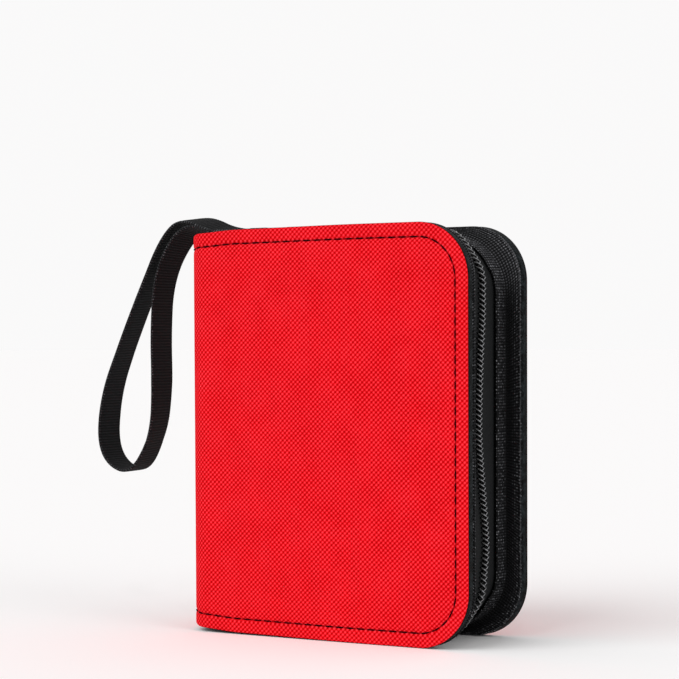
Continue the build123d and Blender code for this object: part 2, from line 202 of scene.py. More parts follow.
def on_cover(s, z, depth, side):
    """The point s round the shell from the middle of the spine, z up and depth into it."""
    if s <= BEND_Y:
        return SPINE_X + depth, side * s, z
    turn = (s - BEND_Y) / SPINE_R
    if turn < pi / 2:
        r = SPINE_R - depth
        return BEND_X - r * cos(turn), side * (BEND_Y + r * sin(turn)), z
    return BEND_X + (turn - pi / 2) * SPINE_R, side * (FACE_Y - depth), z


def ease(value, low, high):
    """0 below low, 1 above high and smooth between them."""
    share = min(max((value - low) / (high - low), 0), 1)
    return share * share * (3 - 2 * share)


def top_of_shell(s):
    """Height of the shell's upper edge, s round the shell from the middle of the spine."""
    height = HEIGHT
    for sink, full, gone in TOP_SINKS:
        height -= sink * (1 - ease(s, full, gone))
    return height


def shell_outline():
    """Places round one half of the shell, as (s, z, out_s, out_z), from the spine's top to its
    foot, which mirrors the top. They lie closest round the bend. Also how many are across the
    top and down the side."""
    straight_end = FAR_S - CORNER_R
    spine = np.linspace(0, BEND_Y - 1, 5)
    bend = np.linspace(BEND_Y, BEND_Y + 18, 40)
    flat = np.linspace(BEND_Y + 20, straight_end, 44)
    top = [(s, top_of_shell(s), 0.0, 1.0) for s in np.concatenate([spine, bend, flat])]
    for angle in np.linspace(0, pi / 2, 29)[1:]:
        out_s, out_z = sin(angle), cos(angle)
        s, z = straight_end + CORNER_R * out_s, HEIGHT - CORNER_R * (1 - out_z)
        top.append((s, z, out_s, out_z))
    heights = np.linspace(HEIGHT - CORNER_R, CORNER_R, 62)[1:-1]
    side = [(FAR_S, z, 1.0, 0.0) for z in heights]
    foot = [(s, HEIGHT - z, out_s, -out_z) for s, z, out_s, out_z in reversed(top)]
    return top + side + foot, len(top), len(side) + 2


def smooth_mesh(name, points, faces, **layers):
    """A smooth mesh from points in millimetres. Each layer holds two values for each point."""
    mesh = bpy.data.meshes.new(name)
    mesh.from_pydata([tuple(c * 0.001 for c in p) for p in points], [], faces)
    corners = np.empty(len(mesh.loops), np.int32)
    mesh.loops.foreach_get("vertex_index", corners)
    for layer_name, values in layers.items():
        layer = mesh.uv_layers.new(name=layer_name)
        layer.data.foreach_set("uv", np.asarray(values, np.float32)[corners].ravel())
    mesh.polygons.foreach_set("use_smooth", [True] * len(mesh.polygons))
    mesh.validate()
    piece = bpy.data.objects.new(name, mesh)
    bpy.context.scene.collection.objects.link(piece)
    return piece


def grid(rows, columns, start=0, wrap=False, flip=False):
    """Faces between points laid out in rows and columns. Wrapped rows are closed into rings."""
    faces = []
    for i in range(rows - 1):
        for j in range(columns if wrap else columns - 1):
            after = (j + 1) % columns
            corners = (i, j), (i, after), (i + 1, after), (i + 1, j)
            face = [start + row * columns + column for row, column in corners]
            faces.append(face[::-1] if flip else face)
    return faces


def shell_sheet(name, profile, side):
    """A sheet over half the shell. The profile runs from its flat middle out to the rim, as
    (inset, depth), and the mesh keeps both in its rim layer."""
    outline, across, down = shell_outline()
    points, places, rims = [], [], []
    count = len(outline)
    for inset, depth in profile:
        for s, z, out_s, out_z in outline:
            points.append(on_cover(s - inset * out_s, z - inset * out_z, depth, side))
            spread = depth - inset
            places.append((s + spread * out_s, z + spread * out_z))
            rims.append((inset, depth))
    faces = grid(len(profile), count, flip=side > 0)
    inset, depth = profile[0]
    middle = len(points)

    def at(i, j):
        """The point in column i of the flat middle and row j down it."""
        if j == 0:
            return i
        if j == down - 1:
            return count - 1 - i
        if i == across - 1:
            return across - 1 + j
        return middle + (j - 1) * (across - 1) + i

    for j in range(1, down - 1):
        for i in range(across - 1):
            s, z, out_s, out_z = outline[i]
            s_in, z_in = s - inset * out_s, z - inset * out_z
            z_here = z_in + (HEIGHT - 2 * z_in) * j / (down - 1)
            points.append(on_cover(s_in, z_here, depth, side))
            places.append((s + (depth - inset) * out_s, z_here))
            rims.append((inset, depth))
    for j in range(down - 1):
        for i in range(across - 1):
            face = [at(i, j), at(i + 1, j), at(i + 1, j + 1), at(i, j + 1)]
            faces.append(face if side > 0 else face[::-1])
    return smooth_mesh(name, points, faces, cloth=places, rim=rims)


def thicken(piece, thickness):
    """Gives a sheet its thickness, inwards from its face, and settles it in the mesh."""
    solid = piece.modifiers.new("thickness", "SOLIDIFY")
    solid.thickness, solid.offset = thickness * 0.001, -1.0
    thickened = piece.evaluated_get(bpy.context.evaluated_depsgraph_get())
    settled = bpy.data.meshes.new_from_object(thickened)
    piece.modifiers.clear()
    piece.data = settled


def bend_with_cover(piece):
    """Settles a cloth piece's placing into its mesh. The cloth is already shaped round the spine's
    edge as it is built.
    """
    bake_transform(piece)


nylon = Finish("red_nylon_weave")
along, up = nylon.cloth_place()
rising = along / WEAVE_S - up / WEAVE_Z
falling = along / WEAVE_S + up / WEAVE_Z
ridges = rising.wave(1.0) * (0.45 + falling.wave(1.0) * 0.25) + falling.wave(1.0) * 0.3
patches = nylon.noise(0.12, 3.0)
fibres = nylon.noise(3.2, 3.0)
worn = (fibres - 0.5) * 0.9 + (patches - 0.5) * 0.22
lit = ridges + worn
# The weave's ridges are painted lighter and its hollows darker, a painted highlight and shade over
# its bumps, and the worn fibres vary its red.
weave_red_and_painted_light = nylon.mix(lit.between(0.0, 0.45), paint(168, 0, 0), paint(228, 8, 22))
weave_red_and_painted_light = nylon.mix(lit.between(0.35, 1.0), weave_red_and_painted_light, paint(255, 60, 72))
from_rim = nylon.cloth_place("rim")[0]
# A painted shade darkens the cloth along the seam's groove.
painted_groove_shade = 1 - (from_rim - SEAM).math("ABSOLUTE").between(0.1, 0.42)
nylon_finish = nylon.surface(
    Base_Color=nylon.mix(painted_groove_shade * 0.65, weave_red_and_painted_light, paint(92, 0, 4)),
    Roughness=0.82,
    Normal=nylon.bump(ridges + worn * 0.4, 0.16, 0.8),
    Specular_IOR_Level=0.04,
)

# Flat cloth, the seam's groove, the roll over the rim and the edge turned under, as (inset, depth).
CLOTH_PROFILE = [
    (7.5, 0.05), (6.3, 0.05), (5.5, 0.1), (5.0, 0.24), (SEAM, 0.45), (4.2, 0.22), (3.7, 0.06),
    (2.8, 0.0), (1.6, 0.0), (0.8, 0.01), (0.4, 0.04), (0.16, 0.12), (0.02, 0.24), (0.0, 0.38),
    (0.2, 0.5),
]
for side_name, side in SIDES.items():
    cloth = shell_sheet(f"{side_name}_cover_cloth", CLOTH_PROFILE, side)
    thicken(cloth, CLOTH_T)
    cloth.data.materials.append(nylon_finish)
    bend_with_cover(cloth)
    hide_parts(f"{side_name}_skin", "spine_skin")


# ---- seam stitches ----
# One line of black thread, locked through cloth, board edge and lining all round each cover.
# Each stitch is pulled into the seam's groove at both ends.
STITCH_PITCH = 4.0
STITCH_LENGTH = 3.1
THREAD_R = 0.21
THREAD_SIDES = 6
THREAD_BED = 0.05          # how far the thread is pressed into the cloth all along
# A stitch from end to end, as (place along it from -1 to 1, depth in the groove, share of girth).
STITCH_SHAPE = [
    (-1.0, 0.5, 0.3), (-0.8, 0.3, 0.85), (-0.3, 0.1, 1.0), (0.3, 0.1, 1.0), (0.8, 0.3, 0.85),
    (1.0, 0.5, 0.3),
]

thread = Finish("black_thread")
twist = thread.noise(3.0)
thread_finish = thread.surface(
    Base_Color=thread.mix(twist, paint(12, 1, 2), paint(38, 3, 7)),
    Roughness=0.85,
    Specular_IOR_Level=0.03,
)


def lengths_along(line):
    """The length along a line up to each of its points."""
    steps = np.linalg.norm(np.diff(line, axis=0), axis=1)
    return np.concatenate([[0], np.cumsum(steps)])


def tube(points, around, first=0, flip=False):
    """Faces over points in rings of this many, from the first point on, and over both ends."""
    rings = (len(points) - first) // around
    last = len(points) - around
    ends = [list(range(first, first + around)), list(range(last, len(points)))[::-1]]
    sides = grid(rings, around, first, wrap=True, flip=flip)
    return sides + [end if flip else end[::-1] for end in ends]


def stitches(name, side):
    """A row of stitches along the seam, from the spine's top edge to its foot."""
    outline = [place for place in shell_outline()[0] if place[0] > BEND_Y + 1.0]
    line = np.array([(s - SEAM * out_s, z - SEAM * out_z) for s, z, out_s, out_z in outline])
    lengths = lengths_along(line)
    points, faces = [], []

    def on_seam(run):
        return np.array([np.interp(run, lengths, line[:, axis]) for axis in (0, 1)])

    for k in range(int(lengths[-1] / STITCH_PITCH)):
        first = len(points)
        for where, dip, girth in STITCH_SHAPE:
            run = (k + 0.5) * STITCH_PITCH + where * STITCH_LENGTH / 2
            s, z = on_seam(run)
            ahead_s, ahead_z = on_seam(run + 0.1) - (s, z)
            size = hypot(ahead_s, ahead_z)
            for turn in range(THREAD_SIDES):
                angle = 2 * pi * turn / THREAD_SIDES
                wide, high = THREAD_R * girth * cos(angle), THREAD_R * girth * sin(angle)
                s_here, z_here = s + wide * ahead_z / size, z - wide * ahead_s / size
                points.append(on_cover(s_here, z_here, dip + THREAD_BED - high, side))
        faces += tube(points, THREAD_SIDES, first, flip=side < 0)
    return smooth_mesh(name, points, faces)


for side_name, side in SIDES.items():
    seam = stitches(f"{side_name}_seam_stitches", side)
    seam.data.materials.append(thread_finish)
    bend_with_cover(seam)


# ---- lining and edge binding ----
# Black coated cloth that lines each cover, wraps the board's edge and meets the red cloth at the
# rim. It has a fine twill and is mottled by wear, with a painted shadow where it goes under the
# red.
LINING_T = 0.4
TWILL = 0.9
coated = Finish("black_coated_cloth")
along, up = coated.cloth_place()
twill = (along / TWILL + up / TWILL).wave(1.0)
wear = coated.noise(0.4, 3.0) * 0.5 + coated.noise(1.5, 3.0) * 0.5
# A painted shadow darkens the lining near the rim, where it goes under the red cloth.
clear_of_painted_rim_shadow = coated.cloth_place("rim")[1].between(0.9, 1.9)
wear_mottle_and_painted_shadow = wear.between(0.43, 0.62) * clear_of_painted_rim_shadow
coated_finish = coated.surface(
    Base_Color=coated.mix(wear_mottle_and_painted_shadow, paint(2, 3, 3), paint(33, 38, 40)),
    Roughness=0.48 + wear * 0.2,
    Normal=coated.bump(twill + wear, 0.05, 0.7),
    Specular_IOR_Level=0.04,
)
# The flat lining, the round inner edge, the board's edge and the rim, as (inset, depth).
LINING_PROFILE = [
    (7.5, PANEL), (5.5, PANEL), (3.5, PANEL), (1.6, PANEL - 0.02), (1.0, PANEL - 0.12),
    (0.58, PANEL - 0.38), (0.3, PANEL - 0.8), (0.12, PANEL - 1.3), (0.04, 2.4), (-0.02, 1.4),
    (-0.08, 0.7), (-0.08, 0.45), (-0.02, 0.34), (0.2, 0.36),
]
for side_name, side in SIDES.items():
    lining = shell_sheet(f"{side_name}_cover_lining", LINING_PROFILE, side)
    lining.data.flip_normals()
    thicken(lining, LINING_T)
    lining.data.materials.append(coated_finish)
    bend_with_cover(lining)
    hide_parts(f"{side_name}_lining", "spine_lining")


# ---- gusset bands ----
# Ribbed black grosgrain sewn to each cover's lining, standing up between the covers along the
# top, the fore-edge and the foot. Its ribs fan out round the corners.
GUSSET_X = reach("front_gusset")[0].x
RECESS = FORE_X - reach("front_gusset")[1].x        # how far in it stands at the fore-edge
END_RECESS = HEIGHT - reach("front_gusset")[1].z    # and at the top and foot
GUSSET_R = 19.0
GUSSET_T = 1.0
BAND_EDGE = 1.5 - reach("front_gusset")[1].y        # its folded edge, from the middle of the gap
PLEAT = 1.4                # how much nearer the zip the folded edge lies round the corners
PLEAT_AT = 13.5            # the pleat's height from the cover's end
PLEAT_LENGTH = 1.6
PLEAT_REACH = 3.0          # how far round the band the pleat is felt
BAND_STEP = 1.3
FLANGE_R = 0.9             # the bend where the band turns out along the lining
FLANGE_GAP = 0.4           # the flange's height over the lining
HEM_CLEAR = 0.05           # from the flange's hem to the cover's rim
RIB, KNOT = 0.94, 0.85     # the ribs' pitch along the band and the knots' along a rib
HEM_STITCH = 10.5          # the hem's stitch line, round the band from its folded edge
TOP_LIGHT_HEIGHTS = 26, 13           # a painted highlight lies on the ribs between these heights below the cover's top


def rim(share, start_x, inset, end_inset, radius):
    """A point on three edges of a rounded outline: share is 0 to 1 on the top, 1 to 2 round the
    corner, 2 to 3 down the fore-edge, then round the lower corner and back along the foot."""
    if share > 2.5:
        x, z, normal_x, normal_z = rim(5 - share, start_x, inset, end_inset, radius)
        return x, HEIGHT - z, normal_x, -normal_z
    centre_x, centre_z = FORE_X - inset - radius, HEIGHT - end_inset - radius
    if share < 1:
        return start_x + (centre_x - start_x) * share, centre_z + radius, 0.0, 1.0
    turn = (min(share, 2) - 1) * pi / 2
    down = max(share - 2, 0) * (2 * centre_z - HEIGHT)
    return centre_x + radius * sin(turn), centre_z + radius * cos(turn) - down, sin(turn), cos(turn)


def rim_shares(start_x, inset, end_inset, radius, spacing):
    """Shares of the outline that lie evenly, this far apart, with the length up to each."""
    fine = np.linspace(0, 5, 4001)
    line = np.array([rim(share, start_x, inset, end_inset, radius)[:2] for share in fine])
    lengths = lengths_along(line)
    runs = np.linspace(0, lengths[-1], int(lengths[-1] / spacing) + 1)
    return list(zip(np.interp(runs, lengths, fine), runs))


grosgrain = Finish("black_grosgrain")
along, across = grosgrain.cloth_place()
ribs = along.wave(RIB)
knots = across.wave(KNOT, 1.0)
flecks = grosgrain.noise(1.1, 3.0)
height = grosgrain.solid_axis(2)
# Ribs near the top corners are painted lighter, a painted highlight where the top light falls.
painted_top_light = height.between(HEIGHT - TOP_LIGHT_HEIGHTS[0], HEIGHT - TOP_LIGHT_HEIGHTS[1]) * ribs * knots
# Painted shade darkens the band in the bend where it turns out along the lining, and along its
# folded edge.
painted_bend_shade = across.between(4.4, 5.2) * (1 - across.between(6.6, 10.2))
from_hem = (across - HEM_STITCH).math("ABSOLUTE")
hem_line = (1 - from_hem.between(0.1, 0.25)) * flecks.between(0.3, 0.55)
clear_of_painted_fold_shade = across.between(0.1, 0.7) * (1 - painted_bend_shade * 0.85)
yarn_and_painted_shade = ribs * (0.3 + knots * 0.7) * flecks.between(0.25, 0.6) * clear_of_painted_fold_shade
glints = ribs * knots.between(0.45, 0.9) * flecks.between(0.5, 0.68) * (1 - painted_bend_shade)
glints = glints + hem_line * 0.3 + painted_top_light * flecks * 0.45
dye_and_painted_light = grosgrain.mix(yarn_and_painted_shade + painted_top_light * 0.5, paint(3, 3, 4), paint(58, 58, 61))
grosgrain_finish = grosgrain.surface(
    Base_Color=grosgrain.mix(glints, dye_and_painted_light, paint(150, 151, 155)),
    Roughness=0.66 + flecks * 0.16,
    Normal=grosgrain.bump(ribs * 0.7 + ribs * knots * 0.5 + flecks * 0.3, 0.25, 0.9),
    Specular_IOR_Level=0.12,
)


def band_section():
    """The band's section, as (y, share, depth) points: y from the middle of the gap, the share
    of the way from the foot of the band out to the hem, and the depth in from there. Also the
    number of points on the folded edge's under side."""
    face_y = INNER_Y - FLANGE_GAP
    near, far = BAND_EDGE, face_y - FLANGE_R
    under = [
        (near + 2.2, 0.0, GUSSET_T - 0.1), (near + 0.4, 0.0, GUSSET_T), (near, 0.0, GUSSET_T * 0.5),
    ]
    outer = [
        (near + 0.2, 0.0, 0.15), (near + 0.8, 0.0, 0.0), (near + 2.2, 0.0, -0.14),
        (far - 0.9, 0.0, -0.08),
    ]
    for angle in np.linspace(0, pi / 2, 7):
        outer.append((far + FLANGE_R * sin(angle), 0.0, -FLANGE_R * (1 - cos(angle))))
    flange = [(face_y + 0.05 * t, t, -FLANGE_R * (1 - t)) for t in (0.25, 0.5, 0.75, 0.9)]
    hem = [
        (face_y - 0.04, 0.955, 0.0), (face_y - 0.16, 0.97, 0.0), (face_y - 0.1, 1.0, 0.0),
        (face_y + 0.2, 1.0, -0.1),
    ]
    inner = [
        (INNER_Y + 0.1, 0.97, 0.0), (INNER_Y + 0.15, 0.5, 0.0), (INNER_Y + 0.15, 0.0, 0.6),
        (face_y, 0.0, GUSSET_T),
    ]
    return under + outer + flange + hem + inner, len(under)


def cove_band(name, side):
    """The gusset's strip: it stands on the cover's lining and turns out along it to the rim."""
    section, edge = band_section()
    hem_reach = RECESS - HEM_CLEAR
    flat_section = np.array([(y, hem_reach * out - depth) for y, out, depth in section])
    round_section = lengths_along(flat_section)
    round_section -= round_section[edge]
    foot_course = GUSSET_X, RECESS, END_RECESS, GUSSET_R
    hem_course = GUSSET_X, HEM_CLEAR, HEM_CLEAR, CORNER_R - HEM_CLEAR
    points, places = [], []
    for share, run in rim_shares(*foot_course, BAND_STEP):
        x, z, normal_x, normal_z = rim(share, *foot_course)
        hem_x, hem_z = rim(share, *hem_course)[:2]
        from_corner = min(z, HEIGHT - z) - PLEAT_AT
        pleat = PLEAT * (1 - ease(from_corner, 0, PLEAT_LENGTH))
        for (y, out, depth), round_it in zip(section, round_section):
            y -= pleat * max(0.0, 1 - abs(round_it) / PLEAT_REACH)
            x_here = x + (hem_x - x) * out - depth * normal_x
            z_here = z + (hem_z - z) * out - depth * normal_z
            points.append((x_here, side * y, z_here))
            places.append((run, round_it))
    return smooth_mesh(name, points, tube(points, len(section), flip=side > 0), cloth=places)


for side_name, side in SIDES.items():
    gusset = cove_band(f"{side_name}_gusset_band", side)
    gusset.data.materials.append(grosgrain_finish)
    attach(gusset, f"{side_name}_cover")
    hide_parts(f"{side_name}_gusset")


# ---- zip tapes ----
# Two tapes of smooth woven polyester. Each is sewn under its gusset's folded edge on one side
# and carries a row of coil on the other.
TAPE_X = reach("front_zip_tape")[0].x
TAPE_DEPTH = FORE_X - reach("front_zip_tape")[1].x
TAPE_EDGE = -reach("front_zip_tape")[1].y
TAPE_FAR = BAND_EDGE + 1.0
TAPE_T = 0.4
TAPE_DIP = 0.4             # the tapes sag this far between the bands
HERRING = 0.5
STEADY_Y = 3.0             # sway and bulge are whole up to here and gone at the band
# The closed zip doesn't run straight: it sways along the fore-edge, as (height, millimetres).
ZIP_SWAY = [
    (14, 0), (18, 0.7), (25, 2.3), (32, 2.9), (44, 1.7), (54, 0.6), (67, -0.6), (80, -0.3),
    (95, 0.4), (108, 1.5), (115, 1.0), (122, 0),
]
SWAY_OUT = 0.25            # how far it comes out for each millimetre that it sways back
BULGE = 3.1                # how far it stands out where it starts round a corner
BULGE_LEFT = 0.5           # the share of that which is left halfway round


def zip_sway(z):
    """How far the zip lies to the back at this height, eased between the places in the list."""
    heights, sways = zip(*ZIP_SWAY)
    return sum(np.interp(z + shift, heights, sways) for shift in (-4, -2, 0, 2, 4)) / 5


def zip_bulge(share):
    """How far the zip stands out where it is bent round a corner, in millimetres."""
    turn = min(share, 5 - share) - 1
    fallen = 1 - (1 - BULGE_LEFT) * ease(turn, 0.25, 0.6)
    return BULGE * ease(turn, 0.02, 0.27) * fallen * (1 - ease(turn, 0.7, 1.05))


def zip_course(start_x, inset):
    """An outline for rim, this far in from the fore-edge and round the gusset's own corners."""
    return start_x, inset, inset - RECESS + END_RECESS, GUSSET_R + RECESS - inset


def tape_section(near, far, thickness):
    """A tape's section with rounded edges, as (y, depth) points."""
    half = thickness / 2
    outer = [(y, 0.0) for y in np.linspace(near + half, far - half, 7)]
    inner = [(y, thickness) for y, depth in reversed(outer)]
    turns = pi / 4, pi / 2, 3 * pi / 4
    far_edge = [(far - half + half * sin(turn), half - half * cos(turn)) for turn in turns]
    near_edge = [(near + half - half * sin(turn), half + half * cos(turn)) for turn in turns]
    return outer + far_edge + inner + near_edge


def tape_strip(name, side):
    """A tape run round three edges of a cover, swayed and bulged beside the coil."""
    section = tape_section(TAPE_EDGE, TAPE_FAR, TAPE_T)
    round_section = lengths_along(np.array(section))
    course = zip_course(TAPE_X, TAPE_DEPTH + TAPE_DIP)
    points, places = [], []
    for share, run in rim_shares(*course, BAND_STEP):
        x, z, normal_x, normal_z = rim(share, *course)
        for (y, depth), round_it in zip(section, round_section):
            near_zip = 1 - ease(y, STEADY_Y, BAND_EDGE)
            sway = zip_sway(z) * normal_x * near_zip
            out = zip_bulge(share) * near_zip - depth
            x_here = x + (out + SWAY_OUT * sway) * normal_x
            points.append((x_here, side * y + sway, z + out * normal_z))
            places.append((run, round_it))
    return smooth_mesh(name, points, tube(points, len(section), flip=side > 0), cloth=places)


tape = Finish("black_zip_tape")
along, across = tape.cloth_place()
herring = (along / HERRING + across / HERRING).wave(1.0)
tape_wear = tape.noise(0.6, 3.0)
tape_finish = tape.surface(
    Base_Color=tape.mix(herring * 0.4 + tape_wear * 0.6, paint(14, 15, 16), paint(27, 28, 29)),
    Roughness=0.7,
    Normal=tape.bump(herring + tape_wear * 0.5, 0.03, 0.8),
    Specular_IOR_Level=0.12,
)
for side_name, side in SIDES.items():
    strip = tape_strip(f"{side_name}_zip_tape_cloth", side)
    strip.data.materials.append(tape_finish)
    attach(strip, f"{side_name}_cover")
    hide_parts(f"{side_name}_zip_tape")


# ---- zip coil ----
# Two rows of black nylon coil, one along each tape's edge. The loops of one row close between
# those of the other, in the middle of the gap.
COIL_X = reach("zip_slider")[1].x + 0.5
COIL_PITCH = 1.6
COIL_WIRE_R = 0.3
COIL_WIRE_SIDES = 8
COIL_TURN_STEPS = 16
# Each row's reach from the middle line back over its tape and forward past that line, and how
# deep it lies. The front row lies over the back one.
COIL_FARS = {"front": 2.1, "back": 1.75}
COIL_HEADS = {"front": 0.9, "back": 0.2}
COIL_DEPTHS = {"front": TAPE_DEPTH - 0.02, "back": TAPE_DEPTH + 0.13}
COIL_RISE = 0.55           # half of a turn's height
COIL_SKEW = 0.42           # how far a turn leans along the zip
COIL_FLATNESS = 0.7        # 1 is a round turn, and less has straighter tops
COURSE_STEP = 0.5

nylon_coil = Finish("black_nylon_coil")
coil_haze = nylon_coil.noise(1.5)
# The outward tops of the turns are painted light grey, a painted glint on the black coil.
painted_coil_glint = nylon_coil.cloth_place()[1].between(0.72, 1.0) * (0.4 + coil_haze * 0.8)
coil_finish = nylon_coil.surface(
    Base_Color=nylon_coil.mix(painted_coil_glint, paint(4, 4, 5), paint(178, 180, 184)),
    Roughness=0.2 + coil_haze * 0.12,
)


def coil_line(side_name):
    """A flattened spiral along a tape's edge: its points, and the way out of the case at each,
    which is longer at the top of a turn."""
    side, head, far = SIDES[side_name], COIL_HEADS[side_name], COIL_FARS[side_name]
    course = zip_course(COIL_X, COIL_DEPTHS[side_name])
    shares, runs = np.array(rim_shares(*course, COURSE_STEP)).T
    shift = COIL_PITCH / 2 if side_name == "back" else 0.0
    turns = int(runs[-1] / COIL_PITCH - 2)
    middle, half = (far - head) / 2, (far + head) / 2
    line, outwards = [], []
    for step in range(turns * COIL_TURN_STEPS + 1):
        turned = step / COIL_TURN_STEPS
        wide, high = cos(2 * pi * turned), sin(2 * pi * turned)
        wide = np.sign(wide) * abs(wide) ** COIL_FLATNESS
        run = COIL_PITCH * (turned + 0.5) + shift - COIL_SKEW * wide
        share = np.interp(run, runs, shares)
        x, z, normal_x, normal_z = rim(share, *course)
        rise = COIL_RISE * high + zip_bulge(share)
        sway = zip_sway(z) * normal_x
        x_here = x + (rise + SWAY_OUT * sway) * normal_x
        line.append(Vector((x_here, side * (middle + half * wide) + sway, z + rise * normal_z)))
        outwards.append(Vector((normal_x, 0, normal_z)) * max(high, 0.0) ** 0.5)
    return line, outwards


def coil_wire(name, line, outwards):
    """A round wire along a line of points. Its cloth layer holds how far each place on the wire
    faces outwards, which sets where the painted glint lies."""
    points, facing = [], []
    side_way = Vector((0.3, 0.9, 0.2))
    for i, middle in enumerate(line):
        before, after = line[max(i - 1, 0)], line[min(i + 1, len(line) - 1)]
        ahead = (after - before).normalized()
        side_way = (side_way - ahead * side_way.dot(ahead)).normalized()
        other = ahead.cross(side_way)
        for k in range(COIL_WIRE_SIDES):
            angle = 2 * pi * k / COIL_WIRE_SIDES
            way = side_way * cos(angle) + other * sin(angle)
            points.append(tuple(middle + way * COIL_WIRE_R))
            facing.append((i, way.dot(outwards[i])))
    return smooth_mesh(name, points, tube(points, COIL_WIRE_SIDES), cloth=facing)


for side_name, side in SIDES.items():
    row = coil_wire(f"{side_name}_zip_coil_wire", *coil_line(side_name))
    row.data.materials.append(coil_finish)
    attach(row, f"{side_name}_cover")
    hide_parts(f"{side_name}_zip_coil")


# ---- end gussets and strap patch ----
# The gusset's ends at the spine, of the same grosgrain, and the folded patch that is sewn over
# the strap's two ends. Their ribs lie side by side from one cover to the other.
end_cloth = Finish("end_gusset_grosgrain")
end_ribs = end_cloth.solid_axis(1).wave(RIB)
end_finish = end_cloth.surface(
    Base_Color=end_cloth.mix(end_ribs, paint(12, 12, 14), paint(40, 40, 43)),
    Roughness=0.75,
    Normal=end_cloth.bump(end_ribs, 0.2, 0.8),
    Specular_IOR_Level=0.25,
)
for name in ("end_gusset_top", "end_gusset_bottom", "strap_anchor"):
    dress(name, end_finish)


# ---- zip slider, pull and stops ----
# Die-cast zinc under black paint, a little dusty. The slider runs along both rows of coil, its
# pull hinges on it, and the stops close the ends of the rows.
enamel = Finish("black_painted_zinc")
dust = enamel.noise(0.8, 4.0)
enamel_finish = enamel.surface(
    Base_Color=enamel.mix(dust, paint(20, 20, 22), paint(36, 36, 38)),
    Roughness=0.28 + dust * 0.15,
    Metallic=0.6,
)
for name in ("zip_slider", "zip_pull", "front_zip_stop", "back_zip_stop"):
    dress(name, enamel_finish)


# ---- ring mechanism ----
# A nickel-plated steel plate over two sprung rails, with three rings of round wire. It is
# riveted to the spine board, and each ring parts in the middle as the rails turn.
nickel = Finish("nickel_plate")
brushing = nickel.noise(0.7, 3.0)
nickel_finish = nickel.surface(
    Base_Color=nickel.mix(brushing, paint(196, 198, 202), paint(214, 215, 218)),
    Metallic=1.0,
    Roughness=0.2 + brushing * 0.12,
)
for name in (
    "ring_plate", "ring_plate_rivets", "front_ring_rail", "back_ring_rail",
    "front_ring_halves", "back_ring_halves",
):
    dress(name, nickel_finish)


# ---- card pages ----
# Clear film pages, each with one pocket, welded round its edges and punched for the rings. Six
# lie on each half of the rings, and they fan out as the covers open.
PAGES_PER_COVER = 6
film = Finish("clear_film")
cloudy = film.noise(0.1, 2.0)
film_finish = film.surface(
    Base_Color=paint(226, 232, 236), Roughness=0.16 + cloudy * 0.14, Alpha=0.2 + cloudy * 0.1
)
for side_name in SIDES:
    for number in range(1, PAGES_PER_COVER + 1):
        dress(f"{side_name}_page_{number}", film_finish)


# ---- wrist strap ----
# Flat black ribbed webbing, 12 mm wide. Both ends are sewn under the patch on the end gusset,
# and the loop comes out over the spine and hangs beside it.
STRAP_W = 12.0
STRAP_T = 1.0
STRAP_RIB = 1.0            # the ribs' pitch
STRAP_RIB_H = 0.07         # and half of their height
STRAP_YARN = 0.55          # the yarns' pitch, along a rib
STRAP_STEP = 0.24
# The corners that steer the loop, as (x from the spine's back, z from the covers' top).
STRAP_CORNERS = [
    (22.6, -2.3), (6.0, -2.4), (-5.0, 2.3), (-13.4, -0.1), (-22.5, -14.6),
    (-24.0, -34.6), (-23.5, -53.4), (-25.3, -70.1), (-34.6, -84.8), (-47.7, -77.4),
    (-46.4, -56.8), (-38.0, -37.1), (-28.9, -18.3), (-20.9, -3.0), (-13.1, 4.5),
    (-4.6, 4.1), (5.4, -1.0), (22.6, -0.9),
]
# How far the webbing is turned about its own line, as (share of its length, degrees).
STRAP_TWIST = [
    (0.0, 0), (0.04, 0), (0.08, 6), (0.14, 7), (0.24, 0), (0.34, 0), (0.42, -8), (0.49, 0),
    (0.57, 0), (0.66, 5), (0.78, 6), (0.855, 2), (0.89, 10), (0.92, 14), (0.945, 12), (0.975, 0),
    (1.0, 0),
]
# Half of the webbing's section, as (place across it, share of the thickness, how far it is ribbed).
STRAP_EDGE = STRAP_W / 2
STRAP_SECTION = [
    (-STRAP_EDGE, 0.25, 0), (-STRAP_EDGE + 0.35, 0.95, 0.3), (-STRAP_EDGE + 0.9, 0.92, 1),
    (-3.0, 1.0, 1), (0.0, 1.0, 1), (3.0, 1.0, 1),
    (STRAP_EDGE - 0.9, 0.92, 1), (STRAP_EDGE - 0.35, 0.95, 0.3), (STRAP_EDGE, 0.25, 0),
]
strap_route = [Vector((SPINE_X + x, 0, HEIGHT + z)) * 0.001 for x, z in STRAP_CORNERS]


def spline_points(route):
    """Points along the smooth spline that these corners steer, in metres."""
    curve = bpy.data.curves.new("strap_line", "CURVE")
    curve.dimensions = "3D"
    spline = curve.splines.new("NURBS")
    spline.points.add(len(route) - 1)
    for point, corner in zip(spline.points, route):
        point.co = (*corner, 1)
    spline.order_u, spline.use_endpoint_u, spline.resolution_u = 3, True, 24
    holder = bpy.data.objects.new("strap_line", curve)
    mesh = bpy.data.meshes.new_from_object(holder)
    line = [v.co.copy() for v in mesh.vertices]
    bpy.data.objects.remove(holder)
    bpy.data.curves.remove(curve)
    bpy.data.meshes.remove(mesh)
    return line


